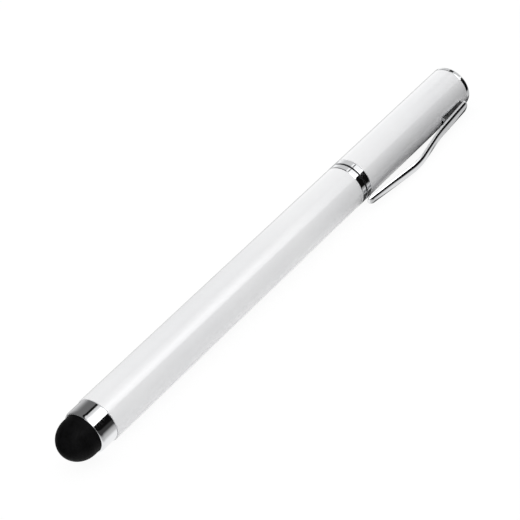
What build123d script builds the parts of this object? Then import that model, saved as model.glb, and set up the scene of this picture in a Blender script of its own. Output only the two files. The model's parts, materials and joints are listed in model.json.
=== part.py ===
from build123d import *
import math
import os

# Two-in-one pen lying on a table: a rubber stylus tip at one end, and under the cap a ballpoint.
# Frame: the origin is on the pen's axis at the middle of the barrel tube, +X runs from the stylus
# tip to the end of the cap, and +Z is up. The pen is turned about its axis until the clip's crest
# touches the table that the barrel lies on, at z = -pen_diameter / 2. All sizes are in millimetres.

# Tubes and trim
pen_diameter = 10.0
tube_wall = 0.5
tube_edge = 0.1
barrel_length = 80.6
cap_length = 37.4
barrel_ring_width = 1.45
cap_ring_width = 1.45
ring_edge = 0.2
joint_line = 0.35  # dark line between the two rings
end_plug_thickness = 1.2
end_plug_edge = 0.5
end_plug_wall = 0.8

# Fits
press_gap = 0.02  # round a piece that is pressed into another
running_gap = 0.05  # round a piece that turns or slides in another
slot_gap = 0.12  # round the clip's legs in the slot of the cap

# Stylus tip and its ferrule
dome_diameter = 8.7
dome_crown = 4.85  # length of the rounded end
dome_skirt = 1.15  # straight length in front of the ferrule
dome_seat = 1.5  # straight length inside the ferrule's mouth
tip_wall = 1.0
bead_length = 1.2
bead_step = 0.7
ferrule_length = 4.2
ferrule_wall = 0.43
ferrule_rim = 0.8
ferrule_lip = 1.0
ferrule_spigot = 5.0
ferrule_spigot_wall = 0.6
tip_plug_length = 2.5
tip_post_length = 2.6
tip_post_edge = 0.4

# Writing end
liner_wall = 0.53
thread_step = 0.7  # how far the thread stub lies below the grip
thread_length = 6.2
bushing_length = 7.0
bushing_neck_wall = 0.6
flange_step = 0.25  # how far the dark line lies below the rings
grip_length = 15.0
grip_taper = 6.5
cone_length = 5.5
cone_base_diameter = 5.8
cone_tip_diameter = 2.9
cone_tip_length = 1.6
cone_socket_length = 2.5
cone_spigot_diameter = 4.2
cone_edge = 0.2
o_ring_cord = 0.8
o_ring_proud = 0.02
o_ring_setback = 7.0

# Refill, guide and spring
refill_length = 67.0
refill_diameter = 2.35
refill_wall = 0.375
refill_empty = 12.0
point_reach = 2.95  # how far the ball stands out of the nose cone
point_diameter = 2.0
point_taper = 2.1
point_collar = 3.0
point_shank = 3.0
point_lip_diameter = 1.2
ball_diameter = 1.0
ball_show = 0.3
ball_gap = 0.02
ink_channel_diameter = 0.5
spring_length = 13.5
spring_diameter = 1.9  # at the middle of the wire
spring_wire = 0.3
spring_turns = 6
guide_grip = 4.0
guide_floor = 2.0

# Cap fittings
cap_spigot = 2.5

# Clip: heights are those of its outer face above the cap
clip_front_run = 16.3  # from the free end to the crest
clip_middle_run = 10.2  # from the crest to the neck
clip_rear_run = 12.3  # from the neck to the rear end
clip_setback = 1.65  # from the clip's rear end to the end of the cap tube
clip_thickness = 0.9
clip_end_height = 2.15
clip_crest_height = 3.95
clip_neck_height = 2.15
clip_root_height = 1.36
clip_end_width = 2.3
clip_root_width = 3.4
clip_lip = 1.1
clip_end_bend = 1.05
clip_crest_bend = 16.0
clip_neck_bend = 30.0
clip_edge = 0.4
clip_rear_corner = 1.3
leg_length = 7.1
leg_overhang = 1.45  # from the legs to the clip's rear end
leg_inset = 0.05
leg_round = 1.0
leg_drop = 1.05  # how far the legs reach below the bore of the cap tube
hook_length = 0.5
hook_height = 0.55
hook_gap = 0.1
leg_gap = 0.4  # from the legs to the end plug
leg_lap = 0.07  # how far inside the strip the legs' hollow curve starts

# Radii
pen_radius = pen_diameter / 2
tube_bore = pen_radius - tube_wall
inset_radius = tube_bore - press_gap
dome_radius = dome_diameter / 2
mouth_radius = dome_radius + running_gap
ferrule_radius = mouth_radius + ferrule_wall
ferrule_bore = inset_radius - ferrule_spigot_wall
bead_radius = ferrule_bore - press_gap
neck_radius = bead_radius - bead_step
neck_bore = neck_radius - tip_wall
liner_bore = inset_radius - liner_wall
section_radius = liner_bore - running_gap
thread_radius = section_radius - thread_step
bushing_bore = thread_radius + running_gap
bushing_neck = bushing_bore + bushing_neck_wall
flange_radius = pen_radius - flange_step
refill_radius = refill_diameter / 2
refill_bore = refill_radius - refill_wall
refill_way = refill_radius + running_gap
point_radius = point_diameter / 2
point_way = point_radius + running_gap
cone_spigot_radius = cone_spigot_diameter / 2
ball_radius = ball_diameter / 2
o_ring_radius = section_radius + o_ring_proud - o_ring_cord / 2
groove_radius = o_ring_radius - o_ring_cord / 2 - running_gap

# Stations along the pen
barrel_end = barrel_length / 2
tip_end = -barrel_end
ferrule_front = tip_end - ferrule_length
lip_front = ferrule_front + dome_seat
lip_back = lip_front + ferrule_lip
bead_front = lip_back + press_gap
bead_back = bead_front + bead_length
crown_base = ferrule_front - dome_skirt
barrel_ring_end = barrel_end + barrel_ring_width
cap_mouth = barrel_ring_end + joint_line
flange_back = barrel_ring_end + running_gap
flange_front = cap_mouth - running_gap
cap_tube_start = cap_mouth + cap_ring_width
cap_tube_end = cap_tube_start + cap_length
grip_end = flange_front + grip_length
cone_back = grip_end + grip_taper
cone_front = cone_back + cone_length
cone_step = cone_front - cone_tip_length
groove_middle = flange_front + o_ring_setback
groove_half = o_ring_cord / 2 + running_gap
ball_tip = cone_front + point_reach
ball_middle = ball_tip - ball_radius
point_lip = ball_tip - ball_show
point_shoulder = cone_step - running_gap
refill_front = point_shoulder - point_collar
refill_back = ball_tip - refill_length
spring_seat = refill_back - spring_length
clip_rear = cap_tube_end - clip_setback
clip_neck = clip_rear - clip_rear_run
clip_crest = clip_neck - clip_middle_run
clip_front = clip_crest - clip_front_run
leg_rear = clip_rear - leg_overhang
leg_front = leg_rear - leg_length
liner_end = leg_front - hook_length - hook_gap
facing = 0.9  # cosine within which a face counts as looking along a direction


def clip_half_width(x):
    """Half the clip's width where it tapers from its rear end to its free end."""
    share = (clip_rear - x) / (clip_rear - clip_front)
    return (clip_root_width + (clip_end_width - clip_root_width) * share) / 2


# Where the clip sits round the pen, so that its crest and the barrel both touch the table
crest_turn = math.atan2(clip_crest_height - clip_end_height, clip_front_run) + math.atan2(
    clip_crest_height - clip_neck_height, clip_middle_run
)
crest_top = pen_radius + clip_crest_height - clip_crest_bend * (1 / math.cos(crest_turn / 2) - 1)
edge_height = crest_top - clip_edge  # middle of the crest's rounded edge
edge_half = clip_half_width(clip_crest) - clip_edge
clip_from_down = math.acos((pen_radius - clip_edge) / math.hypot(edge_height, edge_half)) + math.atan(
    edge_half / edge_height
)
clip_plane = Plane.XY.rotated((270 - math.degrees(clip_from_down), 0, 0))
clip_plan = Plane(origin=(0, 0, 0), x_dir=(1, 0, 0), z_dir=clip_plane.y_dir)


def tube_section(start, outer, inner):
    """A ring-shaped sketch across the pen."""
    with BuildSketch(Plane.YZ.offset(start)) as ring:
        Circle(outer)
        Circle(inner, mode=Mode.SUBTRACT)
    return ring.sketch


def outer_edges(part, count):
    """The round edges of largest radius."""
    return part.edges().filter_by(GeomType.CIRCLE).sort_by(SortBy.RADIUS)[-count:]


# Hollow rubber dome, with a neck through the ferrule's lip and a bead behind it
with BuildPart() as stylus_tip:
    with BuildSketch(Plane.XY):
        with BuildLine():
            crown = EllipticalCenterArc((crown_base, 0), dome_crown, dome_radius, 90, arc_size=90)
            hollow = EllipticalCenterArc(
                (crown_base, 0), dome_crown - tip_wall, dome_radius - tip_wall, 90, arc_size=90
            )
            skirt_back = lip_front - press_gap
            Polyline(
                crown @ 0,
                (skirt_back, dome_radius),
                (skirt_back, neck_radius),
                (bead_front, neck_radius),
                (bead_front, bead_radius),
                (bead_back, bead_radius),
                (bead_back, neck_bore),
                (skirt_back - tip_wall, neck_bore),
                (skirt_back - tip_wall, dome_radius - tip_wall),
                hollow @ 0,
            )
            Line(crown @ 1, hollow @ 1)
        make_face()
    revolve(axis=Axis.X)

# Chrome collar with a rounded rim, an inner lip and a spigot in the barrel
with BuildPart() as tip_ferrule:
    with BuildSketch(Plane.XY):
        with BuildLine():
            rim_middle = (ferrule_front + ferrule_rim, mouth_radius)
            rim = EllipticalCenterArc(rim_middle, ferrule_rim, ferrule_wall, 90, arc_size=90)
            Polyline(
                rim @ 0,
                (tip_end, ferrule_radius),
                (tip_end, inset_radius),
                (tip_end + ferrule_spigot, inset_radius),
                (tip_end + ferrule_spigot, ferrule_bore),
                (lip_back, ferrule_bore),
                (lip_back, neck_radius + press_gap),
                (lip_front, neck_radius + press_gap),
                (lip_front, mouth_radius),
                rim @ 1,
            )
        make_face()
    revolve(axis=Axis.X)

# Brass plug behind the rubber, with a post in its neck
with BuildPart() as tip_plug:
    with BuildSketch(Plane.YZ.offset(bead_back + press_gap)):
        Circle(ferrule_bore - press_gap)
    extrude(amount=tip_plug_length)
    with BuildSketch(Plane.YZ.offset(bead_back + press_gap)):
        Circle(neck_bore - press_gap)
    extrude(amount=-tip_post_length)
    fillet(tip_plug.faces().sort_by(Axis.X)[0].edges(), tip_post_edge)

# Lacquered barrel
with BuildPart() as barrel_tube:
    extrude(tube_section(tip_end, pen_radius, tube_bore), amount=barrel_length)
    fillet(outer_edges(barrel_tube, 2), tube_edge)

# Trim ring at the barrel's cap end, slipped over the bushing's neck
with BuildPart() as barrel_ring:
    extrude(tube_section(barrel_end, pen_radius, bushing_neck + press_gap), amount=barrel_ring_width)
    fillet(outer_edges(barrel_ring, 2), ring_edge)

# Bushing that takes the writing end's thread
with BuildPart() as thread_bushing:
    extrude(tube_section(barrel_end, inset_radius, bushing_bore), amount=-bushing_length)
    extrude(tube_section(barrel_end, bushing_neck, bushing_bore), amount=barrel_ring_width)

# Blind plug in the barrel that guides the refill's rear end and holds its spring
with BuildPart() as refill_guide:
    with BuildSketch(Plane.YZ.offset(spring_seat - guide_floor)):
        Circle(inset_radius)
    extrude(amount=guide_floor + spring_length + guide_grip)
    with BuildSketch(Plane.YZ.offset(spring_seat)):
        Circle(refill_way)
    extrude(amount=spring_length + guide_grip, mode=Mode.SUBTRACT)

# Spring that pushes the refill forward
spring_start = spring_seat + running_gap + spring_wire / 2
spring_travel = spring_length - 2 * running_gap - spring_wire
with BuildPart() as refill_spring:
    with BuildLine() as coil:
        Helix(
            pitch=spring_travel / spring_turns,
            height=spring_travel,
            radius=spring_diameter / 2,
            center=(spring_start, 0, 0),
            direction=(1, 0, 0),
        )
    with BuildSketch(Plane(origin=coil.line @ 0, z_dir=coil.line % 0)):
        Circle(spring_wire / 2)
    sweep(path=coil.line, is_frenet=True)

# Grip with its thread stub, flange, ring groove and taper
with BuildPart() as grip_section:
    with BuildSketch(Plane.XY):
        with BuildLine():
            Polyline(
                (flange_back - thread_length, refill_way),
                (flange_back - thread_length, thread_radius),
                (flange_back, thread_radius),
                (flange_back, flange_radius),
                (flange_front, flange_radius),
                (flange_front, section_radius),
                (groove_middle - groove_half, section_radius),
                (groove_middle - groove_half, groove_radius),
                (groove_middle + groove_half, groove_radius),
                (groove_middle + groove_half, section_radius),
                (grip_end, section_radius),
                (cone_back, cone_base_diameter / 2),
                (cone_back, cone_spigot_radius),
                (cone_back + cone_socket_length, cone_spigot_radius),
                (cone_back + cone_socket_length, refill_way),
                close=True,
            )
        make_face()
    revolve(axis=Axis.X)

# Rubber ring in the groove, which grips the cap
with BuildPart() as cap_o_ring:
    with BuildSketch(Plane.XY):
        with Locations((groove_middle, o_ring_radius)):
            Circle(o_ring_cord / 2)
    revolve(axis=Axis.X)

# Metal cone on the front of the grip
with BuildPart() as nose_cone:
    with BuildSketch(Plane.XY):
        with BuildLine():
            Polyline(
                (cone_back, cone_spigot_radius + press_gap),
                (cone_back, cone_base_diameter / 2),
                (cone_front, cone_tip_diameter / 2),
                (cone_front, point_way),
                (cone_step, point_way),
                (cone_step, refill_way),
                (cone_back + cone_socket_length + press_gap, refill_way),
                (cone_back + cone_socket_length + press_gap, cone_spigot_radius + press_gap),
                close=True,
            )
        make_face()
    revolve(axis=Axis.X)
    fillet(outer_edges(nose_cone.faces().sort_by(Axis.X)[-1], 1), cone_edge)

# Refill: tube, ink, metal point and ball
with BuildPart() as refill_tube:
    extrude(tube_section(refill_back, refill_radius, refill_bore), amount=refill_front - refill_back)

with BuildPart() as refill_ink:
    with BuildSketch(Plane.YZ.offset(refill_back + refill_empty)):
        Circle(refill_bore - press_gap)
    extrude(amount=refill_front - point_shank - press_gap - refill_back - refill_empty)

with BuildPart() as refill_point:
    with BuildSketch(Plane.XY):
        with BuildLine():
            Polyline(
                (refill_front - point_shank, ink_channel_diameter / 2),
                (refill_front - point_shank, refill_bore - press_gap),
                (refill_front, refill_bore - press_gap),
                (refill_front, refill_radius),
                (point_shoulder, refill_radius),
                (point_shoulder, point_radius),
                (point_lip - point_taper, point_radius),
                (point_lip, point_lip_diameter / 2),
                (point_lip, ink_channel_diameter / 2),
                close=True,
            )
        make_face()
    revolve(axis=Axis.X)
    with Locations((ball_middle, 0, 0)):
        Sphere(ball_radius + ball_gap, mode=Mode.SUBTRACT)

with BuildPart() as writing_ball:
    with Locations((ball_middle, 0, 0)):
        Sphere(ball_radius)

# Cap: mouth ring, tube with the clip's slot, inner sleeve and end plug
with BuildPart() as cap_ring:
    extrude(tube_section(cap_mouth, pen_radius, liner_bore), amount=cap_ring_width)
    extrude(tube_section(cap_tube_start, inset_radius, liner_bore), amount=cap_spigot)
    fillet(outer_edges(cap_ring, 2), ring_edge)

leg_half = clip_half_width(leg_front) - leg_inset
with BuildPart() as cap_tube:
    extrude(tube_section(cap_tube_start, pen_radius, tube_bore), amount=cap_length)
    fillet(outer_edges(cap_tube, 2), tube_edge)
    with BuildSketch(clip_plan):
        with Locations(((leg_front + leg_rear) / 2, 0)):
            Rectangle(leg_length + 2 * slot_gap, 2 * (leg_half + slot_gap))
    extrude(amount=pen_diameter, mode=Mode.SUBTRACT)

liner_start = cap_tube_start + cap_spigot + press_gap
with BuildPart() as cap_liner:
    extrude(tube_section(liner_start, inset_radius, liner_bore), amount=liner_end - liner_start)

with BuildPart() as cap_end_plug:
    with BuildSketch(Plane.YZ.offset(cap_tube_end)):
        Circle(pen_radius)
    extrude(amount=end_plug_thickness)
    spigot_length = cap_tube_end - leg_rear - leg_gap
    extrude(
        tube_section(cap_tube_end, inset_radius, inset_radius - end_plug_wall), amount=-spigot_length
    )
    fillet(cap_end_plug.faces().sort_by(Axis.X)[-1].edges(), end_plug_edge)


def strip_height(x):
    """Height of the clip's outer face above the axis, between its neck and its rear end."""
    slope = (clip_root_height - clip_neck_height) / clip_rear_run
    return pen_radius + clip_neck_height + slope * (x - clip_neck)


# Clip: a bent strip that tapers to its free end, with two folded legs through the slot
strip_end = clip_rear + clip_thickness  # trimmed to the rounded plan
with BuildPart() as clip:
    with BuildSketch(clip_plane):
        with BuildLine():
            FilletPolyline(
                (clip_front, pen_radius + clip_end_height - clip_lip),
                (clip_front, pen_radius + clip_end_height),
                (clip_crest, pen_radius + clip_crest_height),
                (clip_neck, pen_radius + clip_neck_height),
                (strip_end, strip_height(strip_end)),
                radius=[clip_end_bend, clip_crest_bend, clip_neck_bend],
            )
            offset(amount=clip_thickness, side=Side.RIGHT)
        make_face()
    extrude(amount=clip_root_width, both=True)
    with BuildSketch(clip_plan):
        with BuildLine():
            Polyline(
                (clip_front, -clip_end_width / 2),
                (clip_rear, -clip_root_width / 2),
                (clip_rear, clip_root_width / 2),
                (clip_front, clip_end_width / 2),
                close=True,
            )
        plan = make_face()
        fillet(plan.vertices().group_by(Axis.X)[-1], clip_rear_corner)
    extrude(amount=pen_diameter, mode=Mode.INTERSECT)
    outer_faces = clip.faces().filter_by(lambda f: f.normal_at().dot(clip_plane.y_dir) > facing)
    side_faces = clip.faces().filter_by(lambda f: abs(f.normal_at().dot(clip_plane.z_dir)) > facing)
    fillet(outer_faces.edges() & side_faces.edges(), clip_edge)
    leg_floor = tube_bore - leg_drop
    leg_top = leg_front - 2 * leg_round
    for inner_side in (leg_half - clip_thickness, -leg_half):
        with BuildSketch(clip_plane.offset(inner_side)):
            with BuildLine():
                Polyline(
                    (leg_top, strip_height(leg_top) - clip_thickness / 2),
                    (leg_rear, strip_height(leg_rear) - clip_thickness / 2),
                    (leg_rear, leg_floor),
                    (leg_front - hook_length, leg_floor),
                    (leg_front - hook_length, leg_floor + hook_height),
                    (leg_front, leg_floor + hook_height),
                    (leg_front, strip_height(leg_front) - clip_thickness + leg_lap),
                    (leg_top, strip_height(leg_top) - clip_thickness + leg_lap),
                    close=True,
                )
            leg = make_face()
            inner_corner = leg.vertices().filter_by_position(
                Axis.X, leg_front - press_gap, leg_front + press_gap
            )
            fillet(inner_corner.sort_by(Axis.Y)[-1], leg_round)
        extrude(amount=clip_thickness)

pieces = {
    "stylus_tip": stylus_tip,
    "tip_ferrule": tip_ferrule,
    "tip_plug": tip_plug,
    "barrel_tube": barrel_tube,
    "barrel_ring": barrel_ring,
    "thread_bushing": thread_bushing,
    "refill_guide": refill_guide,
    "refill_spring": refill_spring,
    "grip_section": grip_section,
    "cap_o_ring": cap_o_ring,
    "nose_cone": nose_cone,
    "refill_tube": refill_tube,
    "refill_ink": refill_ink,
    "refill_point": refill_point,
    "writing_ball": writing_ball,
    "cap_ring": cap_ring,
    "cap_tube": cap_tube,
    "cap_liner": cap_liner,
    "cap_end_plug": cap_end_plug,
    "clip": clip,
}
os.makedirs("parts", exist_ok=True)
for name, piece in pieces.items():
    piece.part.label = name
    export_step(piece.part, f"parts/{name}.step")
    print(name, "volume", round(piece.part.volume, 3))
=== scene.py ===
# %% [markdown]
# This notebook dresses a capped stylus pen. The construction comes from a CAD model that is loaded as
# a fixed frame, in metres, with the pen lying along X on a table. Each visible piece could simply
# keep its CAD mesh, but polished metal and gloss paint show every facet, so most pieces are turned
# again here with finer steps and softer edges, in the same place and at the same size.

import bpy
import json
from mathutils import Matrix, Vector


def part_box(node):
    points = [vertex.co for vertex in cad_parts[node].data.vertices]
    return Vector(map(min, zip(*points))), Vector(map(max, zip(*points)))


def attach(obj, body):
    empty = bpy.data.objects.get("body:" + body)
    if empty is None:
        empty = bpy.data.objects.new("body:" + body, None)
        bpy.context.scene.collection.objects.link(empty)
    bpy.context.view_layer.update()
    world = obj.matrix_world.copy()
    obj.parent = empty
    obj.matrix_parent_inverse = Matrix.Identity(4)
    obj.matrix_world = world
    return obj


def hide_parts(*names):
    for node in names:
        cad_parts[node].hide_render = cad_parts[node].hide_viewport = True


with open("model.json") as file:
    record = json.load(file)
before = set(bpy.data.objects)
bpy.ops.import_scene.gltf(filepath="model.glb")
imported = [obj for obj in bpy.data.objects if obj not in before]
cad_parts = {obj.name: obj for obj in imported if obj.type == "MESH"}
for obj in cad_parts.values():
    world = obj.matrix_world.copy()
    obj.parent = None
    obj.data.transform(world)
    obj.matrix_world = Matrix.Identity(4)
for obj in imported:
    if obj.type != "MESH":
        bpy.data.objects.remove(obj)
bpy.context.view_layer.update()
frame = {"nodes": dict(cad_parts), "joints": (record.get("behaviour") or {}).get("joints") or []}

# %% [markdown]
# Sizes are written in millimetres, as a maker would write them, and turned into metres where a mesh
# is made. The ends and the radius of a turned piece can be read from its CAD node, so they follow
# the frame and are not typed in again.

# %% Read sizes from the frame
import json
import math

import bmesh
import bpy
from mathutils import Matrix, Vector

MM = 0.001
TOUCHING = 1e-7  # points closer than this, in metres, are taken as one


def reach(node):
    """Both ends along the pen and the radius of a turned CAD node, in millimetres."""
    low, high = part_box(node)
    return low.x / MM, high.x / MM, high.z / MM


barrel_front, barrel_back, pen_radius = reach("barrel_tube")
table_height = -pen_radius
barrel_sizes = [round(value, 2) for value in (barrel_front, barrel_back, pen_radius)]
print("barrel from {} to {}, radius {}".format(*barrel_sizes))

# %% [markdown]
# The camera stands to the left of the stylus tip, looks along the pen and down on it, and is rolled
# so that the pen runs from the lower left of the picture to the upper right. It could be aimed with
# a constraint, but a matrix built from the three directions of view keeps the roll exact.

# %% Place the camera
camera_place = Vector((-220.677, -266.416, 198.783)) * MM
to_right = Vector((0.59651, -0.74359, -0.30208))
to_top = Vector((0.56167, 0.11789, 0.81892))
to_camera = to_right.cross(to_top)
lens = bpy.data.cameras.new("photo_camera")
lens.sensor_width = 36.0
lens.lens = 138.46
lens.clip_start = 0.01
camera = bpy.data.objects.new("photo_camera", lens)
turned_camera = Matrix((to_right, to_top, to_camera)).transposed().to_4x4()
camera.matrix_world = Matrix.Translation(camera_place) @ turned_camera
bpy.context.scene.collection.objects.link(camera)
bpy.context.scene.camera = camera
bpy.context.scene.view_settings.view_transform = "Standard"
print("camera at", [round(value, 4) for value in camera.location])

# %% [markdown]
# Every finish is a Principled shader with its own grain. A helper makes the node tree and hands back
# a noise whose scale is given by the size of its grain in millimetres, on Object coordinates, so a
# pattern keeps its real scale on every piece and in every pose.

# %% Helpers for finishes
NOISE_LOW, NOISE_HIGH = 0.3, 0.7  # most values of a noise lie between these


class Finish:
    """A material with its Principled shader, and shorthands to add grain to it."""

    def __init__(self, name):
        self.slot = name
        self.material = bpy.data.materials.new(name + "_finish")
        self.material.use_nodes = True
        self.nodes = self.material.node_tree.nodes
        self.links = self.material.node_tree.links
        self.shader = self.nodes["Principled BSDF"]
        self.place = self.nodes.new("ShaderNodeTexCoord").outputs["Object"]

    def grain(self, size, detail=3.0, stretch=(1.0, 1.0, 1.0)):
        """Noise with grains of this size in millimetres, drawn out by the factors of stretch."""
        mapping = self.nodes.new("ShaderNodeMapping")
        mapping.inputs["Scale"].default_value = [1 / factor for factor in stretch]
        self.links.new(self.place, mapping.inputs["Vector"])
        noise = self.nodes.new("ShaderNodeTexNoise")
        noise.inputs["Scale"].default_value = 1 / (size * MM)
        noise.inputs["Detail"].default_value = detail
        self.links.new(mapping.outputs["Vector"], noise.inputs["Vector"])
        return noise.outputs["Fac"]

    def spread(self, value, low, high, socket):
        """Sends a noise to a socket of the shader, as a number between low and high."""
        span = self.nodes.new("ShaderNodeMapRange")
        span.inputs["From Min"].default_value = NOISE_LOW
        span.inputs["From Max"].default_value = NOISE_HIGH
        span.inputs["To Min"].default_value = low
        span.inputs["To Max"].default_value = high
        self.links.new(value, span.inputs["Value"])
        self.links.new(span.outputs["Result"], self.shader.inputs[socket])

    def tint(self, value, dark, light):
        """Lets a noise move the base colour between two shades."""
        shades = self.nodes.new("ShaderNodeValToRGB")
        first, last = shades.color_ramp.elements
        first.position, last.position = NOISE_LOW, NOISE_HIGH
        first.color, last.color = (*dark, 1.0), (*light, 1.0)
        self.links.new(value, shades.inputs["Fac"])
        self.links.new(shades.outputs["Color"], self.shader.inputs["Base Color"])

    def relief(self, value, strength, depth):
        """Turns a noise into bumps of this depth in millimetres."""
        bump = self.nodes.new("ShaderNodeBump")
        bump.inputs["Strength"].default_value = strength
        bump.inputs["Distance"].default_value = depth * MM
        self.links.new(value, bump.inputs["Height"])
        self.links.new(bump.outputs["Normal"], self.shader.inputs["Normal"])


print("finish helpers ready")

# %% [markdown]
# The barrel and cap are metal tubes under white gloss lacquer. White paint alone would look like
# plastic, so a clear coat carries the sharp reflections, and a faint orange peel, the slow waves that
# sprayed lacquer dries with, makes them swim a little.

# %% White lacquer
lacquer = Finish("white_lacquer")
lacquer.tint(lacquer.grain(14.0), (0.835, 0.838, 0.85), (0.86, 0.862, 0.87))
lacquer.spread(lacquer.grain(3.0), 0.1, 0.17, "Roughness")
lacquer.relief(lacquer.grain(1.6, detail=1.0), 0.04, 0.03)
lacquer.shader.inputs["Coat Weight"].default_value = 0.6
lacquer.shader.inputs["Coat Roughness"].default_value = 0.04
print("made", lacquer.material.name)

# %% [markdown]
# The trim is chrome plate on polished brass. A perfect mirror looks false, so a broad noise lays
# faint finger marks on it through the roughness, and a fine noise drawn out round the pen leaves the
# traces of the polishing wheel.

# %% Chrome
chrome = Finish("chrome_trim")
chrome.shader.inputs["Metallic"].default_value = 1.0
chrome.tint(chrome.grain(6.0), (0.84, 0.85, 0.865), (0.9, 0.905, 0.915))
chrome.spread(chrome.grain(2.2), 0.035, 0.085, "Roughness")
wheel_marks = (1.0, 20.0, 20.0)  # drawn out round the pen's axis
chrome.relief(chrome.grain(0.05, detail=2.0, stretch=wheel_marks), 0.02, 0.004)
print("made", chrome.material.name)

# %% [markdown]
# The stylus dome and the ring that grips the cap are rubber: almost black, matt, with a fine
# powdery grain that breaks up what little shine its skin has.

# %% Black silicone
silicone = Finish("black_silicone")
silicone.tint(silicone.grain(1.2), (0.001, 0.001, 0.0012), (0.003, 0.003, 0.0034))
silicone.spread(silicone.grain(0.5), 0.5, 0.72, "Roughness")
silicone.relief(silicone.grain(0.09), 0.12, 0.02)
silicone.shader.inputs["Specular IOR Level"].default_value = 0.06
print("made", silicone.material.name)

# %% [markdown]
# Pieces of the writing end and the inside are moulded plastic, turned brass, spring steel, nickel
# silver, hard metal, clear tube and ink. They show when the cap is off, so each has its own grain
# too: spark-eroded texture on the plastic, tool marks on the turned metals.

# %% Black plastic
plastic = Finish("black_plastic")
plastic.tint(plastic.grain(2.5), (0.014, 0.014, 0.015), (0.024, 0.024, 0.026))
plastic.spread(plastic.grain(0.6), 0.32, 0.46, "Roughness")
plastic.relief(plastic.grain(0.12), 0.15, 0.02)
plastic.shader.inputs["Specular IOR Level"].default_value = 0.3
print("made", plastic.material.name)

# %% Turned metals
tool_marks = (1.0, 30.0, 30.0)  # drawn out round the pen's axis
turned = {}
for name, dark, light, smooth, rough in (
    ("brass", (0.7, 0.52, 0.24), (0.83, 0.65, 0.34), 0.16, 0.3),
    ("nickel_silver", (0.62, 0.59, 0.52), (0.74, 0.71, 0.64), 0.14, 0.26),
    ("spring_steel", (0.42, 0.42, 0.44), (0.6, 0.6, 0.62), 0.2, 0.34),
    ("ball_carbide", (0.36, 0.36, 0.38), (0.46, 0.46, 0.48), 0.06, 0.14),
):
    metal = Finish(name)
    metal.shader.inputs["Metallic"].default_value = 1.0
    metal.tint(metal.grain(1.5), dark, light)
    metal.spread(metal.grain(0.4), smooth, rough, "Roughness")
    metal.relief(metal.grain(0.06, stretch=tool_marks), 0.1, 0.01)
    turned[name] = metal
print("made", ", ".join(turned))

# %% Clear tube and ink
clear = Finish("clear_plastic")
clear.tint(clear.grain(5.0), (0.82, 0.85, 0.87), (0.9, 0.92, 0.93))
clear.spread(clear.grain(1.5), 0.12, 0.22, "Roughness")
clear.shader.inputs["Transmission Weight"].default_value = 0.85
clear.shader.inputs["IOR"].default_value = 1.49
ink = Finish("ink")
ink.tint(ink.grain(1.5), (0.004, 0.006, 0.03), (0.012, 0.018, 0.07))
ink.spread(ink.grain(0.8), 0.1, 0.2, "Roughness")
print("made", clear.material.name, "and", ink.material.name)

# %% [markdown]
# A turned piece starts as a lathe drawing: a few vertices at (station, radius) in the XY plane, joined
# by edges. Corners are rounded by a vertex bevel while the drawing is still flat, then one full spin
# about the pen's axis makes the surface. A lathe could also be a Screw modifier, but the operator
# leaves a plain mesh. Smooth shading would bend the light of a whole wall towards its rounded edges, so
# each long line first gets a support point close to either end, and only the short rest bends.

# %% Helpers for turned pieces
TURN_STEPS = 160
SHARP_ANGLE = math.radians(32)  # steeper edges are shaded sharp


def draw(bm, stations, closed=True):
    """Joins (station, radius) points in millimetres by edges and returns their vertices."""
    corners = [bm.verts.new((x * MM, r * MM, 0)) for x, r in stations]
    for pair in zip(corners, corners[1:]):
        bm.edges.new(pair)
    if closed:
        bm.edges.new((corners[-1], corners[0]))
    return corners


def soften(bm, corners, size, segments=5):
    """Rounds corners of a drawing, starting this far from each, in millimetres."""
    bmesh.ops.bevel(
        bm, geom=corners, offset=size * MM, offset_type="OFFSET", segments=segments,
        profile=0.5, affect="VERTICES", material=-1,
    )


def brace(bm, reach_in=0.05, shortest=0.5):
    """Splits the long lines of a drawing close to both ends; both lengths are in millimetres."""
    for edge in [edge for edge in bm.edges if edge.calc_length() > shortest * MM]:
        start, end = edge.verts
        _, support = bmesh.utils.edge_split(edge, start, reach_in * MM / edge.calc_length())
        rest = bm.edges.get((support, end))
        bmesh.utils.edge_split(rest, end, reach_in * MM / rest.calc_length())


def turn(bm):
    """Spins a drawing once round the pen's axis and closes its seam and poles."""
    brace(bm)
    bmesh.ops.spin(
        bm, geom=bm.verts[:] + bm.edges[:], cent=(0, 0, 0), axis=(1, 0, 0), dvec=(0, 0, 0),
        angle=math.tau, steps=TURN_STEPS, use_merge=True, use_duplicate=False,
    )
    bmesh.ops.remove_doubles(bm, verts=bm.verts[:], dist=TOUCHING)
    bmesh.ops.recalc_face_normals(bm, faces=bm.faces[:])


def settle(bm, name, finish, body, node):
    """Makes an object of the mesh, shades it, and lets it stand for its CAD node."""
    mesh = bpy.data.meshes.new(name)
    bm.to_mesh(mesh)
    bm.free()
    mesh.shade_smooth()
    mesh.set_sharp_from_angle(angle=SHARP_ANGLE)
    mesh.materials.append(finish.material)
    piece = bpy.data.objects.new(name, mesh)
    bpy.context.scene.collection.objects.link(piece)
    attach(piece, body)
    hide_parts(node)
    print(name, "has", len(mesh.polygons), "faces")


print("turned pieces have", TURN_STEPS, "steps to a turn")

# %% [markdown]
# The barrel is a plain tube. Its inner wall matters where the pen is opened, so it is drawn as a
# closed section with real wall thickness. The lacquer runs over the tube's ends in a small round.

# %% Barrel tube
tube_wall = 0.5
tube_edge = 0.1
bm = bmesh.new()
corners = draw(bm, [
    (barrel_front, pen_radius), (barrel_back, pen_radius),
    (barrel_back, pen_radius - tube_wall), (barrel_front, pen_radius - tube_wall),
])
soften(bm, corners[:2], tube_edge)
turn(bm)
settle(bm, "white_barrel", lacquer, "barrel", "barrel_tube")

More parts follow.
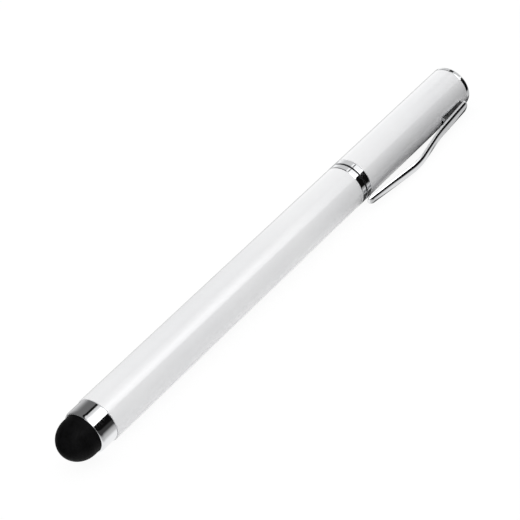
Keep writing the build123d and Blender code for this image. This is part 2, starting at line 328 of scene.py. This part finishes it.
# %% [markdown]
# Two chrome rings meet where the cap closes. The barrel's ring slips over a bushing; the cap's ring
# has a spigot inside the cap tube. Their flat bands have a small round where they meet the tubes,
# which draws the thin lines that the eye reads as metal. Where they meet each other the cap's ring
# has a crisp edge and the barrel's is cut back by a steep chamfer, so that the gap reads as one dark
# groove.

# %% Rings at the joint
ring_edge, crisp_edge = 0.2, 0.03
groove_cut, groove_depth = 0.13, 0.26
ring_front, ring_back, ring_radius = reach("barrel_ring")
ring_bore = 3.87
bm = bmesh.new()
corners = draw(bm, [
    (ring_front, ring_radius), (ring_back - groove_cut, ring_radius),
    (ring_back, ring_radius - groove_depth), (ring_back, ring_bore), (ring_front, ring_bore),
])
soften(bm, corners[:1], ring_edge)
turn(bm)
settle(bm, "barrel_trim_ring", chrome, "barrel", "barrel_ring")

cap_front, cap_back, cap_radius = reach("cap_tube")
mouth_front, mouth_back, mouth_radius = reach("cap_ring")
spigot_radius = 4.48
liner_bore = 3.95
bm = bmesh.new()
corners = draw(bm, [
    (mouth_front, mouth_radius), (cap_front, mouth_radius), (cap_front, spigot_radius),
    (mouth_back, spigot_radius), (mouth_back, liner_bore), (mouth_front, liner_bore),
])
soften(bm, corners[:1], crisp_edge, segments=2)
soften(bm, corners[1:2], ring_edge)
turn(bm)
settle(bm, "cap_trim_ring", chrome, "cap", "cap_ring")

# %% [markdown]
# The dome is hollow rubber. Its crown is a quarter of an ellipse: a single vertex is spun through a
# right angle and the arc is then stretched along the pen. Skirt, neck and bead follow as straight
# lines, and the hollow is a second arc, one wall thickness inside the first.

# %% Stylus dome
dome_front, dome_back, dome_radius = reach("stylus_tip")
crown_length = 4.85
rubber_wall = 1.0
crown_base = dome_front + crown_length


def quarter_arc(bm, base, length, radius, steps=20):
    """Vertices, in order, of a quarter ellipse from the axis up to the radius at base."""
    tip = bm.verts.new((-radius * MM, 0, 0))
    bmesh.ops.spin(
        bm, geom=[tip], cent=(0, 0, 0), axis=(0, 0, -1), angle=math.pi / 2, steps=steps,
        use_duplicate=False,
    )
    arc = [tip]
    while len(arc) <= steps:
        neighbours = [edge.other_vert(arc[-1]) for edge in arc[-1].link_edges]
        arc += [vert for vert in neighbours if vert not in arc]
    bmesh.ops.scale(bm, vec=(length / radius, 1, 1), verts=arc)
    bmesh.ops.translate(bm, vec=(base * MM, 0, 0), verts=arc)
    return arc


bm = bmesh.new()
crown = quarter_arc(bm, crown_base, crown_length, dome_radius)
hollow = quarter_arc(bm, crown_base, crown_length - rubber_wall, dome_radius - rubber_wall)
skirt_back, skirt_edge = -43.02, 0.2
neck_radius, neck_bore = 3.16, 2.16
bead_front, bead_radius = -41.98, 3.86
inside = draw(bm, [
    (skirt_back, dome_radius), (skirt_back, neck_radius), (bead_front, neck_radius),
    (bead_front, bead_radius), (dome_back, bead_radius), (dome_back, neck_bore),
    (skirt_back - rubber_wall, neck_bore), (skirt_back - rubber_wall, dome_radius - rubber_wall),
], closed=False)
bm.edges.new((crown[-1], inside[0]))
bm.edges.new((inside[-1], hollow[-1]))
soften(bm, [inside[0]], skirt_edge, segments=3)
turn(bm)
settle(bm, "stylus_dome", silicone, "barrel", "stylus_tip")

# %% [markdown]
# The collar that holds the dome has a rolled rim. The rim is another quarter ellipse, from the mouth
# up to the outside, and the rest is the section of a turned part with a spigot that is pressed into
# the barrel. A steep chamfer at its back draws the dark seam where the barrel begins.

# %% Chrome collar
collar_front, collar_back, collar_radius = reach("tip_ferrule")
rim_length, rim_height = 0.8, 0.43
clearance = 0.02  # between a spigot or a neck and the bore round it
bm = bmesh.new()
rim = quarter_arc(bm, collar_front + rim_length, rim_length, rim_height, steps=10)
bmesh.ops.translate(bm, vec=(0, (collar_radius - rim_height) * MM, 0), verts=rim)
lip_front, lip_back = -43.0, -42.0
lip_bore, collar_bore = neck_radius + clearance, 3.88
seam_cut, seam_depth = 0.12, 0.3
section = draw(bm, [
    (barrel_front - seam_cut, collar_radius), (barrel_front, collar_radius - seam_depth),
    (barrel_front, spigot_radius), (collar_back, spigot_radius),
    (collar_back, collar_bore), (lip_back, collar_bore), (lip_back, lip_bore),
    (lip_front, lip_bore), (lip_front, collar_radius - rim_height),
], closed=False)
bm.edges.new((rim[-1], section[0]))
bm.edges.new((section[-1], rim[0]))
turn(bm)
settle(bm, "dome_collar", chrome, "barrel", "tip_ferrule")

# %% [markdown]
# The cap's end is closed by a chrome plug: a disc with a round edge and a hollow spigot in the tube.
# Its drawing starts and ends on the axis, so the spin closes it by itself.

# %% End plug
plug_front, plug_back, plug_radius = reach("cap_end_plug")
plug_edge, shoulder_edge = 0.5, 0.12
spigot_bore = 3.68
bm = bmesh.new()
corners = draw(bm, [
    (plug_back, 0), (plug_back, plug_radius), (cap_back, plug_radius), (cap_back, spigot_radius),
    (plug_front, spigot_radius), (plug_front, spigot_bore), (cap_back, spigot_bore), (cap_back, 0),
], closed=False)
soften(bm, [corners[1]], plug_edge, segments=8)
soften(bm, [corners[2]], shoulder_edge, segments=3)
turn(bm)
settle(bm, "cap_end_button", chrome, "cap", "cap_end_plug")

# %% [markdown]
# The clip leaves the cap sideways and a little downwards. Its pieces are drawn in the XY plane, with
# the clip on the +Y side, and turned about the pen's axis at the end. The turn is the angle from +Y to
# the direction in which the clip's pivot lies from the axis.

# %% Place and width of the clip
clip_joint = next(joint for joint in frame["joints"] if joint["name"] == "clip_flex")
pivot = Vector(clip_joint["pos_m"])
clip_turn = math.atan2(pivot.z, pivot.y)
to_clip_side = Matrix.Rotation(clip_turn, 3, "X")
clip_front, clip_back, _ = reach("clip")
end_width, root_width = 2.3, 3.4


def strip_width(x):
    """Width of the clip's strip at a station, in millimetres."""
    return root_width + (end_width - root_width) * (clip_back - x) / (clip_back - clip_front)


leg_length, leg_inset = 7.1, 0.05
leg_front = pivot.x / MM
leg_back = leg_front + leg_length
leg_half = strip_width(leg_front) / 2 - leg_inset
print("clip turned by", round(math.degrees(clip_turn), 2), "degrees")

# %% [markdown]
# The cap is a tube like the barrel, with a slot for the clip's legs. A boolean would cut it, but the
# cut would leave long thin triangles that gloss paint shows. Instead four planes score the tube, the
# faces inside the score are deleted, and the rims of the holes in the outer and inner wall are
# bridged.

# %% Cap tube with its slot
slot_gap = 0.12
slot_front, slot_back = leg_front - slot_gap, leg_back + slot_gap
slot_half = leg_half + slot_gap
bm = bmesh.new()
corners = draw(bm, [
    (cap_front, cap_radius), (cap_back, cap_radius),
    (cap_back, cap_radius - tube_wall), (cap_front, cap_radius - tube_wall),
])
soften(bm, corners[:2], tube_edge)
turn(bm)
for point, normal in (
    ((slot_front, 0, 0), (1, 0, 0)), ((slot_back, 0, 0), (1, 0, 0)),
    ((0, 0, slot_half), (0, 0, 1)), ((0, 0, -slot_half), (0, 0, 1)),
):
    bmesh.ops.bisect_plane(
        bm, geom=bm.verts[:] + bm.edges[:] + bm.faces[:], dist=TOUCHING,
        plane_co=Vector(point) * MM, plane_no=normal,
    )


def in_slot(face):
    """Whether a face of the tube lies inside the score."""
    middle = face.calc_center_median() / MM
    return slot_front < middle.x < slot_back and abs(middle.z) < slot_half and middle.y > 0


bmesh.ops.delete(bm, geom=[face for face in bm.faces if in_slot(face)], context="FACES")
bmesh.ops.bridge_loops(bm, edges=[edge for edge in bm.edges if edge.is_boundary])
bmesh.ops.recalc_face_normals(bm, faces=bm.faces[:])
bmesh.ops.rotate(bm, cent=(0, 0, 0), matrix=to_clip_side, verts=bm.verts[:])
settle(bm, "white_cap", lacquer, "cap", "cap_tube")

# %% [markdown]
# The clip is bent from sheet. Its outer face is drawn from the side as a line of a few points, whose
# bends are rounded by a vertex bevel, then pulled sideways into a ribbon. The ribbon is tapered and its
# rear corners are rounded. It is a little narrower than the strip, because the sides of a stamped and
# polished clip lean in towards its outer face.

# %% Clip strip
end_to_crest, neck_to_back = 16.3, 12.3
crest, neck = clip_front + end_to_crest, clip_back - neck_to_back
end_height, crest_height, neck_height, root_height = 2.15, 3.95, 2.15, 1.36  # above the cap
lip_depth = 1.1
side_lean = 0.27
rear_round = 1.3
slack = 0.01  # for finding points at an end
bends = {1: (0.95, 8), 2: (2.31, 14), 3: (1.76, 14)}  # point: how far from it its bend starts, segments


def moved(geometry):
    """The vertices in what an operator returns."""
    return [item for item in geometry if isinstance(item, bmesh.types.BMVert)]


bm = bmesh.new()
line = draw(bm, [
    (clip_front, pen_radius + end_height - lip_depth), (clip_front, pen_radius + end_height),
    (crest, pen_radius + crest_height), (neck, pen_radius + neck_height),
    (clip_back, pen_radius + root_height),
], closed=False)
for point, (start, segments) in bends.items():
    soften(bm, [line[point]], start, segments)
sideways = bmesh.ops.extrude_edge_only(bm, edges=bm.edges[:])["geom"]
bmesh.ops.translate(bm, vec=(0, 0, MM), verts=moved(sideways))
bmesh.ops.translate(bm, vec=(0, 0, -MM / 2), verts=bm.verts[:])
for vert in bm.verts:
    vert.co.z *= strip_width(vert.co.x / MM) - 2 * side_lean
rear_corners = [vert for vert in bm.verts if vert.co.x > (clip_back - slack) * MM]
soften(bm, rear_corners, rear_round, segments=8)
print("ribbon of", len(bm.faces), "faces,", round(crest_height, 2), "mm high at its crest")

# %% [markdown]
# Solidify moves a copy of the faces along their normals, so they are first made to look outwards and
# then thickened towards the pen. The copy is widened to the full strip. A bevel then rounds the outer
# rim, which is where a polished clip carries its dark line. The short end of the lip is left out of it,
# because there is no room for so large a round, and joins the fine bevel that breaks all other edges.

# %% Clip thickness and edges
sheet = 0.9
outer_round, fine_round = 0.66, 0.12
fine_angle = 1.0  # radians; edges that turn by more get the fine round
bmesh.ops.recalc_face_normals(bm, faces=bm.faces[:])
if sum(face.normal.y * face.calc_area() for face in bm.faces) < 0:
    bmesh.ops.reverse_faces(bm, faces=bm.faces[:])
lip_end = pen_radius + end_height - lip_depth + slack
outer_rim = [
    edge for edge in bm.edges
    if edge.is_boundary and any(vert.co.y > lip_end * MM for vert in edge.verts)
]
outer_verts = set(bm.verts)
bmesh.ops.solidify(bm, geom=bm.faces[:], thickness=sheet * MM)
for vert in set(bm.verts) - outer_verts:
    full = strip_width(vert.co.x / MM)
    vert.co.z *= full / (full - 2 * side_lean)
bmesh.ops.recalc_face_normals(bm, faces=bm.faces[:])


def break_edges(edges, size, segments):
    """Rounds edges of the strip."""
    bmesh.ops.bevel(
        bm, geom=edges, offset=size * MM, offset_type="OFFSET", segments=segments, profile=0.5,
        affect="EDGES", material=-1, clamp_overlap=True,
    )


break_edges(outer_rim, outer_round, segments=8)
sharp_edges = [edge for edge in bm.edges if edge.calc_face_angle() > fine_angle]
break_edges(sharp_edges, fine_round, segments=3)
print("strip with", len(bm.faces), "faces; rounded", len(outer_rim), "and", len(sharp_edges), "edges")

# %% [markdown]
# Two legs are folded down from the strip and go through the slot. Each is drawn from the side as one
# face with a hook at its foot that catches under the tube's wall, and is extruded by the thickness of
# the sheet.

# %% Clip legs
leg_floor = 3.45
hook_length, hook_height = 0.5, 0.55
fold, fold_depth = 1.0, 0.08
fold_start = leg_front - 2 * fold
lap = 0.15  # how far the legs reach into the strip


def leg_top(x):
    """Height above the axis at which a leg ends inside the strip, behind the strip's neck."""
    rise = (root_height - neck_height) * (x - neck) / (clip_back - neck)
    return pen_radius + neck_height + rise - sheet + lap


for side in (leg_half - sheet, -leg_half):
    leg_bm = bmesh.new()
    corners = draw(leg_bm, [
        (fold_start, leg_top(fold_start)), (leg_back, leg_top(leg_back)),
        (leg_back, leg_floor), (leg_front - hook_length, leg_floor),
        (leg_front - hook_length, leg_floor + hook_height), (leg_front, leg_floor + hook_height),
        (leg_front, leg_top(leg_front) - fold_depth), (fold_start, leg_top(fold_start) - fold_depth),
    ])
    soften(leg_bm, [corners[6]], fold, segments=8)
    plate = bmesh.ops.contextual_create(leg_bm, geom=leg_bm.edges[:])["faces"]
    walls = bmesh.ops.extrude_face_region(leg_bm, geom=plate)["geom"]
    bmesh.ops.translate(leg_bm, vec=(0, 0, sheet * MM), verts=moved(walls))
    bmesh.ops.translate(leg_bm, vec=(0, 0, side * MM), verts=leg_bm.verts[:])
    bmesh.ops.recalc_face_normals(leg_bm, faces=leg_bm.faces[:])
    leg_mesh = bpy.data.meshes.new("leg")
    leg_bm.to_mesh(leg_mesh)
    leg_bm.free()
    bm.from_mesh(leg_mesh)
    bpy.data.meshes.remove(leg_mesh)
bmesh.ops.rotate(bm, cent=(0, 0, 0), matrix=to_clip_side, verts=bm.verts[:])
settle(bm, "pocket_clip", chrome, "clip", "clip")

# %% [markdown]
# Under the cap the black grip carries the cone. The grip is one drawing with its flange, the groove
# of the rubber ring and the taper. Its stub is threaded: a ridge is spun with a small step along the
# axis each time, which is how the spin operator makes a screw, and its two ends are filled.

# %% Grip section
stub_end, spigot_end, _ = reach("grip_section")
nose_back, nose_front, nose_radius = reach("nose_cone")
flange_low, flange_high, flange_radius = 41.8, 42.05, 4.75
groove_low, groove_high, groove_radius = 48.6, 49.5, 3.07
grip_radius, taper_start, taper_radius = 3.9, 57.05, 2.9
cone_spigot, refill_way = 2.1, 1.225
thread_root, thread_crest, thread_pitch = 2.95, 3.2, 0.75
taper_round, groove_edge = 1.2, 0.1
bm = bmesh.new()
corners = draw(bm, [
    (stub_end, refill_way), (stub_end, thread_root), (flange_low, thread_root),
    (flange_low, flange_radius), (flange_high, flange_radius), (flange_high, grip_radius),
    (groove_low, grip_radius), (groove_low, groove_radius), (groove_high, groove_radius),
    (groove_high, grip_radius), (taper_start, grip_radius), (nose_back, taper_radius),
    (nose_back, cone_spigot), (spigot_end, cone_spigot), (spigot_end, refill_way),
])
soften(bm, [corners[10]], taper_round, segments=6)
soften(bm, [corners[6], corners[9]], groove_edge, segments=3)
turn(bm)
print("grip body with", len(bm.faces), "faces")

# %% Thread on the grip's stub
turns = 7
steps_per_turn = 64
ridge_half, crest_half, sunk = 0.27, 0.08, 0.05
first_ridge = 0.35
ridge_start = stub_end + first_ridge
ridge = draw(bm, [
    (ridge_start - ridge_half, thread_root - sunk), (ridge_start - crest_half, thread_crest),
    (ridge_start + crest_half, thread_crest), (ridge_start + ridge_half, thread_root - sunk),
])
ridge_edges = {edge for vert in ridge for edge in vert.link_edges}
bmesh.ops.spin(
    bm, geom=ridge + list(ridge_edges), cent=(0, 0, 0), axis=(1, 0, 0),
    dvec=(thread_pitch * MM / steps_per_turn, 0, 0), angle=math.tau * turns,
    steps=steps_per_turn * turns, use_merge=False, use_duplicate=False,
)
ridge_ends = [edge for edge in bm.edges if edge.is_boundary]
bmesh.ops.holes_fill(bm, edges=ridge_ends, sides=len(ridge))
bmesh.ops.recalc_face_normals(bm, faces=bm.faces[:])
print("thread of", turns, "turns, open edges left:", sum(edge.is_boundary for edge in bm.edges))
settle(bm, "grip_with_thread", plastic, "section", "grip_section")

# %% [markdown]
# The rubber ring in the groove is a circle turned round the pen. The metal cone in front of the grip
# is a short taper with a rounded nose, bored for the refill's point.

# %% Rubber ring and nose cone
ring_low, ring_high, ring_outer = reach("cap_o_ring")
cord_radius = (ring_high - ring_low) / 2
bm = bmesh.new()
bmesh.ops.create_circle(bm, cap_ends=False, segments=24, radius=cord_radius * MM)
cord_middle = Vector((ring_low + cord_radius, ring_outer - cord_radius, 0)) * MM
bmesh.ops.translate(bm, vec=cord_middle, verts=bm.verts[:])
turn(bm)
settle(bm, "cap_grip_ring", silicone, "cap_grip", "cap_o_ring")

nose_tip_radius, nose_tip_round, nose_edge = 1.45, 0.25, 0.12
socket_end, socket_radius = 66.07, cone_spigot + clearance
nose_step, point_way = 67.45, 1.05
bm = bmesh.new()
corners = draw(bm, [
    (nose_back, socket_radius), (nose_back, nose_radius), (nose_front, nose_tip_radius),
    (nose_front, point_way), (nose_step, point_way), (nose_step, refill_way),
    (socket_end, refill_way), (socket_end, socket_radius),
])
soften(bm, [corners[2]], nose_tip_round, segments=6)
soften(bm, [corners[1]], nose_edge, segments=4)
turn(bm)
settle(bm, "metal_nose", chrome, "section", "nose_cone")

# %% [markdown]
# The pieces inside keep their CAD meshes, which are right as they are. Each gets its finish in its
# own material slot.

# %% Finishes for the inner pieces
inner_finishes = {
    "tip_plug": turned["brass"], "thread_bushing": turned["brass"], "refill_guide": plastic,
    "refill_spring": turned["spring_steel"], "refill_tube": clear, "refill_ink": ink,
    "refill_point": turned["nickel_silver"], "writing_ball": turned["ball_carbide"],
    "cap_liner": plastic,
}
for node, finish in inner_finishes.items():
    for slot in frame["nodes"][node].material_slots:
        slot.material = finish.material
print("dressed", len(inner_finishes), "inner pieces")

# %% [markdown]
# The pen lies on a white table that runs out of sight. To the camera and in reflections the table
# mostly glows, as white as the background; the rest is ordinary white paint, which takes the pen's
# shadow. Beside the cap the table has a painted shade: a darker tone, not a real sheet, that only the
# light between surfaces meets, so that less light bounces up onto the cap's under side.

# %% Helpers for the stage
WHITE = (1, 1, 1, 1)


def ramp(tree, axis, start, end):
    """0 up to start and 1 past end, along an axis, in millimetres."""
    where = tree.nodes.new("ShaderNodeSeparateXYZ")
    tree.links.new(tree.nodes.new("ShaderNodeTexCoord").outputs["Object"], where.inputs["Vector"])
    change = tree.nodes.new("ShaderNodeMapRange")
    change.interpolation_type = "SMOOTHSTEP"
    change.inputs["From Min"].default_value = start * MM
    change.inputs["From Max"].default_value = end * MM
    tree.links.new(where.outputs[axis], change.inputs["Value"])
    return change.outputs["Result"]


def combine(tree, operation, first, second):
    """A Math node of two values, each a socket or a number."""
    node = tree.nodes.new("ShaderNodeMath")
    node.operation = operation
    for socket, value in zip(node.inputs, (first, second)):
        if isinstance(value, bpy.types.NodeSocket):
            tree.links.new(value, socket)
        else:
            socket.default_value = value
    return node.outputs["Value"]


def seen_directly(tree):
    """1 for rays from the camera, mirrors and glass, and 0 for the rays that carry light."""
    path = tree.nodes.new("ShaderNodeLightPath")
    seen = combine(tree, "MAXIMUM", path.outputs["Is Camera Ray"], path.outputs["Is Glossy Ray"])
    return combine(tree, "MAXIMUM", seen, path.outputs["Is Transmission Ray"])


print("stage helpers ready")

# %% Table
# painted shade: the table's tone beside the cap is darkened for bounced light only, which darkens the
# cap's under side
table_tone, painted_shade_tone = 0.8, 0.05
glow_level, glow_share = 1.03, 0.9
painted_shade_along, painted_shade_across = ("X", 26, 52), ("Y", 5, -4)
table_half, table_drop = 4.0, 1e-5  # metres; the drop keeps the table clear of the pen
table_paint = bpy.data.materials.new("table_white")
table_paint.use_nodes = True
tree = table_paint.node_tree
paint = tree.nodes.new("ShaderNodeBsdfDiffuse")
# painted shade beside the cap, seen only by light bouncing between surfaces
in_painted_shade = combine(tree, "MULTIPLY", ramp(tree, *painted_shade_along), ramp(tree, *painted_shade_across))
between = tree.nodes.new("ShaderNodeLightPath").outputs["Is Diffuse Ray"]
darkening = combine(tree, "MULTIPLY", in_painted_shade, between)
loss = combine(tree, "MULTIPLY", darkening, table_tone - painted_shade_tone)
tone = combine(tree, "SUBTRACT", table_tone, loss)
tree.links.new(tone, paint.inputs["Color"])
glow = tree.nodes.new("ShaderNodeEmission")
glow.inputs["Color"].default_value = WHITE
glow.inputs["Strength"].default_value = glow_level
blend = tree.nodes.new("ShaderNodeMixShader")
tree.links.new(combine(tree, "MULTIPLY", seen_directly(tree), glow_share), blend.inputs["Fac"])
tree.links.new(paint.outputs["BSDF"], blend.inputs[1])
tree.links.new(glow.outputs["Emission"], blend.inputs[2])
tree.links.new(blend.outputs["Shader"], tree.nodes["Material Output"].inputs["Surface"])
bm = bmesh.new()
bmesh.ops.create_grid(bm, x_segments=1, y_segments=1, size=table_half)
bmesh.ops.translate(bm, vec=(0, 0, table_height * MM - table_drop), verts=bm.verts[:])
mesh = bpy.data.meshes.new("table")
bm.to_mesh(mesh)
bm.free()
mesh.materials.append(table_paint)
table = bpy.data.objects.new("table", mesh)
bpy.context.scene.collection.objects.link(table)
print("table at", round(table_height, 2), "mm")

# %% [markdown]
# Chrome and gloss paint show the room, not themselves. A photographer hangs a soft box over the pen
# and sets dark and grey cards round it, and their reflections draw the light and dark bands. The cards
# here are sheets along the pen that only mirrors see, so they are painted reflections that light
# nothing, apart from one low screen in front that mirrors don't see and that keeps light off. Each is a
# grid whose rows are laid on rails. Its shade is one value, to which glows are added. A glow grows
# along the ramps that it is given, and one below zero darkens, but not past black.

# %% Helpers for the cards
card_distance = 600.0
far_left, far_right = -1500.0, 1500.0


def over(x, angle, distance=card_distance):
    """A point at this station and this angle above the near side of the table, seen from the pen."""
    turn_up = math.radians(angle)
    return x, -distance * math.cos(turn_up), distance * math.sin(turn_up)


def along(angle):
    """A straight rail at one angle, past both ends of the pen."""
    return [over(far_left, angle), over(far_right, angle)]


def card(name, rails, shade, glows=(), screen=False):
    """A sheet through rails of points in millimetres; a glow is an amount and its ramps."""
    bm = bmesh.new()
    bmesh.ops.create_grid(bm, x_segments=len(rails[0]) - 1, y_segments=len(rails) - 1, size=1.0)
    for vert, point in zip(bm.verts, [point for rail in rails for point in rail]):
        vert.co = Vector(point) * MM
    mesh = bpy.data.meshes.new(name)
    bm.to_mesh(mesh)
    bm.free()
    paint = bpy.data.materials.new(name)
    paint.use_nodes = True
    tree = paint.node_tree
    light = tree.nodes.new("ShaderNodeEmission")
    light.inputs["Color"].default_value = WHITE
    light.inputs["Strength"].default_value = shade
    level = shade
    for amount, *ramps in glows:
        for place in ramps:
            amount = combine(tree, "MULTIPLY", ramp(tree, *place), amount)
        level = combine(tree, "ADD", amount, level)
    if glows:
        tree.links.new(combine(tree, "MAXIMUM", level, 0), light.inputs["Strength"])
    tree.links.new(light.outputs["Emission"], tree.nodes["Material Output"].inputs["Surface"])
    mesh.materials.append(paint)
    board = bpy.data.objects.new(name, mesh)
    bpy.context.scene.collection.objects.link(board)
    board.visible_camera = False
    board.visible_glossy = not screen
    board.visible_diffuse = screen
    board.visible_shadow = screen
    board.visible_transmission = False
    board.visible_volume_scatter = False
    print(name, "of", len(mesh.polygons), "faces")


print("cards stand", card_distance, "mm from the pen")

# %% [markdown]
# Over the barrel the soft box, seen only in reflections, is brightest along its middle, over the cap
# along its lower edge, and it fades out past the cap's end. A thin dark gap runs along its upper edge.
# Behind it the room is grey, lighter low down and towards the cap. In front, mirrors see a table that
# is light beside the pen and dark further off; at the rings the light reaches further out. Behind the
# pen the table is grey. Before the dome and under the cap it carries a painted shadow of the pen, apart
# from a painted light patch between the cap's ring and the clip's crest.

# %% Soft box
box_angles = 12.0, 50.0, 90.0
box_low, box_middle, box_high = box_angles
low_height, middle_height, high_height = (over(0, angle)[2] for angle in box_angles)
up_to_middle, down_to_low = ("Z", low_height, middle_height), ("Z", middle_height, low_height)
down_to_middle = ("Z", high_height, middle_height)
over_barrel, over_cap, past_cap = ("X", 520, 380), ("X", 380, 520), ("X", 570, 600)
low_half = [along(angle) for angle in (box_low, 25, 38, box_middle)]
high_half = [along(angle) for angle in (box_middle, 62, 75, box_high)]
# painted highlight: a glowing sheet that only mirrors see; it lights nothing
card("painted_soft_box_low", low_half, shade=0.8, glows=[
    (2.2, up_to_middle, over_barrel), (0.2, over_cap), (2.0, down_to_low, over_cap), (-0.45, past_cap),
])
card("painted_soft_box_high", high_half, shade=0.65, glows=[
    (2.35, down_to_middle, over_barrel), (0.4, over_cap), (-0.45, past_cap),
])

# %% Dark and grey cards
nearer = 0.97 * card_distance  # before the soft box
black = 0.004
front_edge = [(far_left, 27), (284, 29), (464, 30), (530, 33), (far_right, 35)]  # station, angle
gap_edges = [(far_left, 86, 97.5), (284, 86, 97.5), (517, 76, 80), (560, 75, 78)]  # station, two angles
screen_edge = 9
room_angles = (box_high, 105, 120, 135, 150, 165, 179)
low_down, past_dome = ("Z", 480, 60), ("X", -300, 100)
leg_stations, leg_angles = (570, 800), (83, 105)
card("front_card", [
    [(x, -nearer, table_height) for x, _ in front_edge],
    [over(x, angle, nearer) for x, angle in front_edge],
], black)
card("front_screen", [
    [(x, -nearer, table_height) for x in (far_left, far_right)],
    [over(x, screen_edge, nearer) for x in (far_left, far_right)],
], black, screen=True)
card("gap_line", [
    [over(x, low, nearer) for x, low, _ in gap_edges],
    [over(x, high, nearer) for x, _, high in gap_edges],
], black)
card("back_card", [along(angle) for angle in room_angles], shade=0.15, glows=[
    (0.4, low_down, past_dome), (0.5, over_cap),
])
# painted reflection: a dark sheet that only the clip's legs mirror
card("leg_card", [[over(x, angle, nearer) for x in leg_stations] for angle in leg_angles], shade=0.02)

# %% Table as mirrors see it
card_height = table_height + 0.1
near_edge, middle_row = -5.5, -20
before_dome, past_collar, before_cap = ("X", -50, -60), ("X", -30, 10), ("X", 44, 34)
beside_cap, beside_clip, beside_ring = ("X", 34, 44), ("X", 38, 46), ("X", 40, 44)
under_cap, past_ring, past_crest = ("X", 40, 42.5), ("X", 44, 49), ("X", 62, 72)
before_arm, before_crest = ("X", 53, 50), ("X", 64, 54)
before_root, before_end = ("X", 68, 62), ("X", 96, 84)
barrel_strip, barrel_line = ("Y", -18, -8), ("Y", -8.5, near_edge)
cap_strip, cap_line = ("Y", -12, -8.5), ("Y", -7.2, -6.4)
ring_strip, ring_strip_end = ("Y", -18, -12.5), ("Y", -11, -9)
clip_patch = ("Y", -4.9, -3.9)


def flat_rails(*rows):
    """Straight rails just above the table, one at each distance along Y."""
    return [[(x, y, card_height) for x in (far_left, far_right)] for y in rows]


# painted shade: the dark strips near the cap, the clip and the ring are shadow of the cap and clip,
# painted into what mirrors see
card("table_before", flat_rails(near_edge, middle_row, -card_distance), shade=0.04, glows=[
    (0.48, barrel_strip, before_cap), (0.43, barrel_line, before_cap),
    (0.4, cap_strip, beside_cap), (0.4, cap_strip, beside_clip), (-0.25, cap_strip, past_crest),
    (-0.8, cap_line, under_cap, before_root), (0.35, ring_strip, beside_ring, before_arm),
    (-0.35, ring_strip_end, beside_ring, before_arm), (-0.036, past_collar),
])
# painted shadow of the pen under the cap and before the dome, and a painted light patch beside the clip
card("table_under", flat_rails(-near_edge, near_edge), shade=0.95, glows=[
    (-0.9, under_cap, before_end), (0.65, clip_patch, past_ring, before_crest), (-0.9, before_dome),
])
# painted shadow before the dome
card("table_behind", flat_rails(-near_edge, card_distance), shade=0.55, glows=[(-0.5, before_dome)])

# %% [markdown]
# The light itself comes from all sides, as in a light tent: an even sky, at a level at which white
# paint comes out as white paint.

# %% Light and background
light_strength, seen_strength = 1.09, 1.0
world = bpy.data.worlds.new("light_tent")
bpy.context.scene.world = world
world.use_nodes = True
sky = world.node_tree.nodes["Background"]
sky.inputs["Color"].default_value = WHITE
sky_level = world.node_tree.nodes.new("ShaderNodeMapRange")
sky_level.inputs["To Min"].default_value = light_strength
sky_level.inputs["To Max"].default_value = seen_strength
world.node_tree.links.new(seen_directly(world.node_tree), sky_level.inputs["Value"])
world.node_tree.links.new(sky_level.outputs["Result"], sky.inputs["Strength"])
print("sky at", light_strength)
